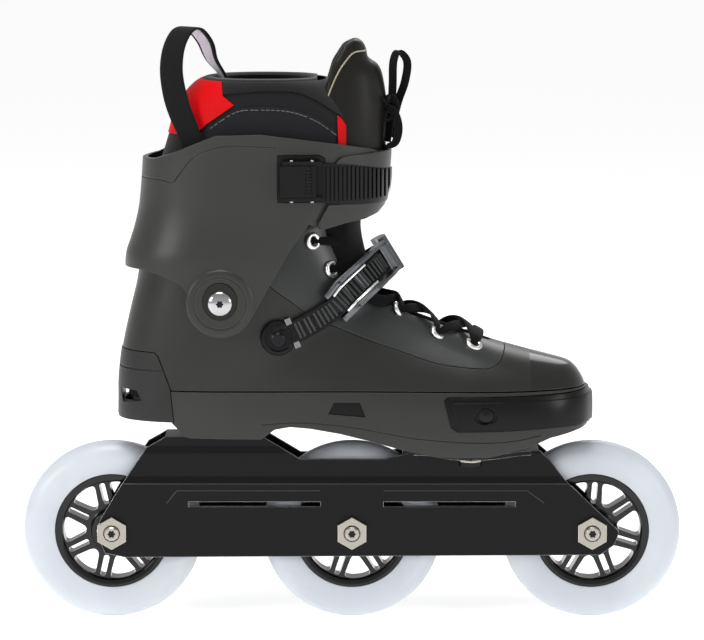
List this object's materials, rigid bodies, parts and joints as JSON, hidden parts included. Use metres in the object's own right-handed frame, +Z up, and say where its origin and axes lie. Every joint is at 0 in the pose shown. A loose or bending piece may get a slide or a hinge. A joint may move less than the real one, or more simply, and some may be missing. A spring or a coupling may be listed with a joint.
{
  "type": "inline skate",
  "caption": "Inline skate for the right foot: hard boot with hinged cuff, ratchet straps and lacing on a long aluminium frame with a line of large wheels.",
  "frame": {"origin": "on the floor, at the lowest point of the middle wheel's running band", "axes": "+X along the wheels to the toe, +Y across to the inner (medial) side of a right foot, +Z up"},
  "size_m": [0.46, 0.1197, 0.4149],
  "materials": {
    "tyre_urethane": "satin",
    "hub_plastic": "gloss",
    "bright_steel": "polished",
    "frame_aluminium": "satin black anodised",
    "shell_plastic": "satin, fine grain",
    "black_plastic": "satin",
    "gunmetal": "satin",
    "insole_foam": "matte",
    "liner_fabric": "matte",
    "lace_cord": "woven",
    "webbing": "woven"
  },
  "bodies": {
    "boot": {"axle_rear": "bright_steel", "axle_middle": "bright_steel", "axle_front": "bright_steel", "axle_insert_rear_lateral": "bright_steel", "axle_insert_rear_medial": "bright_steel", "axle_insert_middle_lateral": "bright_steel", "axle_insert_middle_medial": "bright_steel", "axle_insert_front_lateral": "bright_steel", "axle_insert_front_medial": "bright_steel", "mount_bolt_rear": "bright_steel", "mount_bolt_front_lateral": "bright_steel", "mount_bolt_front_medial": "bright_steel", "mount_washer_front_lateral": "bright_steel", "mount_washer_front_medial": "bright_steel", "pivot_bolt_lateral": "bright_steel", "pivot_bolt_medial": "bright_steel", "strap_screw_lateral": "bright_steel", "strap_screw_medial": "bright_steel", "frame": "frame_aluminium", "sole": "shell_plastic", "shell": "shell_plastic", "facings": "shell_plastic", "heel_bumper": "black_plastic", "toe_bumper": "black_plastic", "toe_screw_lateral": "black_plastic", "toe_screw_medial": "black_plastic", "instep_strap": "black_plastic", "medial_strap": "black_plastic", "instep_buckle_base": "gunmetal", "insole": "insole_foam", "liner_foot": "liner_fabric", "tongue_lower": "liner_fabric", "laces": "lace_cord"},
    "cuff": {"cuff": "shell_plastic", "cuff_strap": "black_plastic", "cuff_buckle_base": "black_plastic", "pivot_insert_lateral": "gunmetal", "pivot_insert_medial": "gunmetal", "liner_collar": "liner_fabric", "tongue_upper": "liner_fabric", "pull_loop": "webbing", "lace_loop": "lace_cord"},
    "cuff_lever": {"cuff_buckle_lever": "black_plastic"},
    "instep_lever": {"instep_buckle_lever": "black_plastic"},
    "wheel_rear": {"tyre_rear": "tyre_urethane", "hub_rear": "hub_plastic", "bearing_rear_lateral": "bright_steel", "bearing_rear_medial": "bright_steel", "spacer_rear": "bright_steel"},
    "wheel_middle": {"tyre_middle": "tyre_urethane", "hub_middle": "hub_plastic", "bearing_middle_lateral": "bright_steel", "bearing_middle_medial": "bright_steel", "spacer_middle": "bright_steel"},
    "wheel_front": {"tyre_front": "tyre_urethane", "hub_front": "hub_plastic", "bearing_front_lateral": "bright_steel", "bearing_front_medial": "bright_steel", "spacer_front": "bright_steel"}
  },
  "joints": [
    {"name": "wheel_rear_spin", "type": "hinge", "parent": "boot", "child": "wheel_rear", "pos_m": [-0.1675, 0, 0.0625], "axis": [0, 1, 0], "continuous": true},
    {"name": "wheel_middle_spin", "type": "hinge", "parent": "boot", "child": "wheel_middle", "pos_m": [0, 0, 0.0625], "axis": [0, 1, 0], "continuous": true},
    {"name": "wheel_front_spin", "type": "hinge", "parent": "boot", "child": "wheel_front", "pos_m": [0.1675, 0, 0.0625], "axis": [0, 1, 0], "continuous": true},
    {"name": "cuff_flex", "type": "hinge", "parent": "boot", "child": "cuff", "pos_m": [-0.09, 0, 0.229], "axis": [0, 1, 0], "range_deg": [-6, 8], "stiffness_Nm_per_rad": 20},
    {"name": "cuff_buckle_open", "type": "hinge", "parent": "cuff", "child": "cuff_lever", "pos_m": [-0.0265, -0.05775, 0.313], "axis": [0, 0, 1], "range_deg": [0, 75]},
    {"name": "instep_buckle_open", "type": "hinge", "parent": "boot", "child": "instep_lever", "pos_m": [0.02611, -0.0036, 0.25582], "axis": [0.5219, 0, -0.853], "range_deg": [0, 70]}
  ]
}
